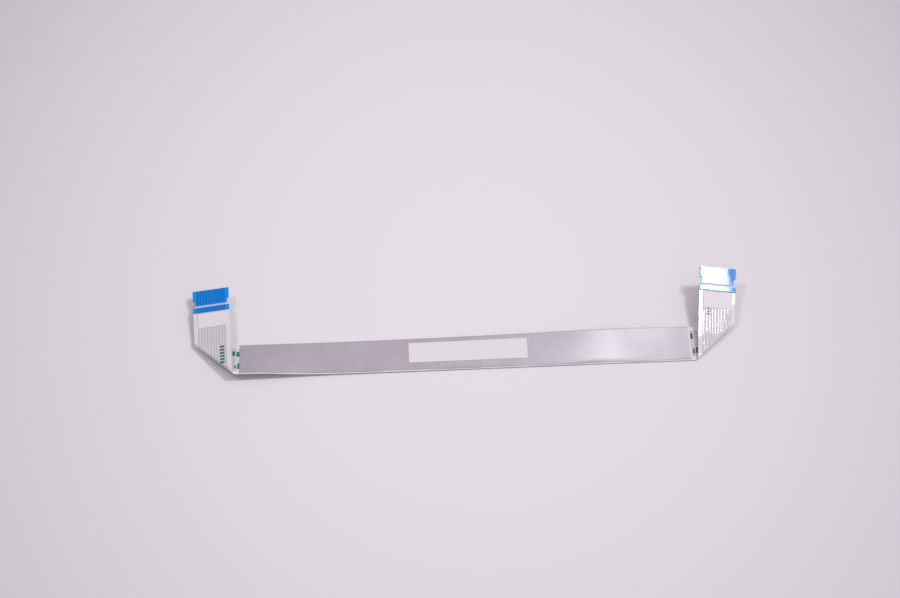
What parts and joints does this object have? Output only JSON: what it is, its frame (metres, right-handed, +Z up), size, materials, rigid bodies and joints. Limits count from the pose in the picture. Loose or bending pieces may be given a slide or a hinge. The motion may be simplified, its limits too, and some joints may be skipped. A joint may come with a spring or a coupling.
{
  "type": "flat flex cable",
  "caption": "Flat flexible cable with a foil-shielded strip, both ends folded over at about 45 degrees into short tails with stiffened, notched plug ends.",
  "frame": {"origin": "centre of the bounding box's footprint, on the surface that the cable lies on", "axes": "+X along the shielded strip towards the steeper tail, +Y the way the two tails point, +Z up"},
  "size_m": [0.092, 0.0168, 0.0046],
  "materials": {
    "tinned_copper": "tin-plated rolled copper, satin",
    "white_film": "milky polyester film, semi-gloss",
    "shield": "fine-grained shield foil, satin",
    "blue_backing": "blue polyester, glossy",
    "white_ink": "printed ink, matte",
    "label_stock": "white label stock, matte"
  },
  "bodies": {
    "root": {"conductor_01": "tinned_copper", "conductor_02": "tinned_copper", "conductor_03": "tinned_copper", "conductor_04": "tinned_copper", "conductor_05": "tinned_copper", "conductor_06": "tinned_copper", "conductor_07": "tinned_copper", "conductor_08": "tinned_copper", "conductor_09": "tinned_copper", "conductor_10": "tinned_copper", "upper_film": "white_film", "lower_film": "white_film", "shield_foil": "shield", "main_label": "label_stock", "left_stiffener": "blue_backing", "right_stiffener": "blue_backing", "left_insertion_line": "white_ink", "right_insertion_line": "white_ink", "left_label": "label_stock", "right_label": "label_stock"}
  },
  "joints": []
}
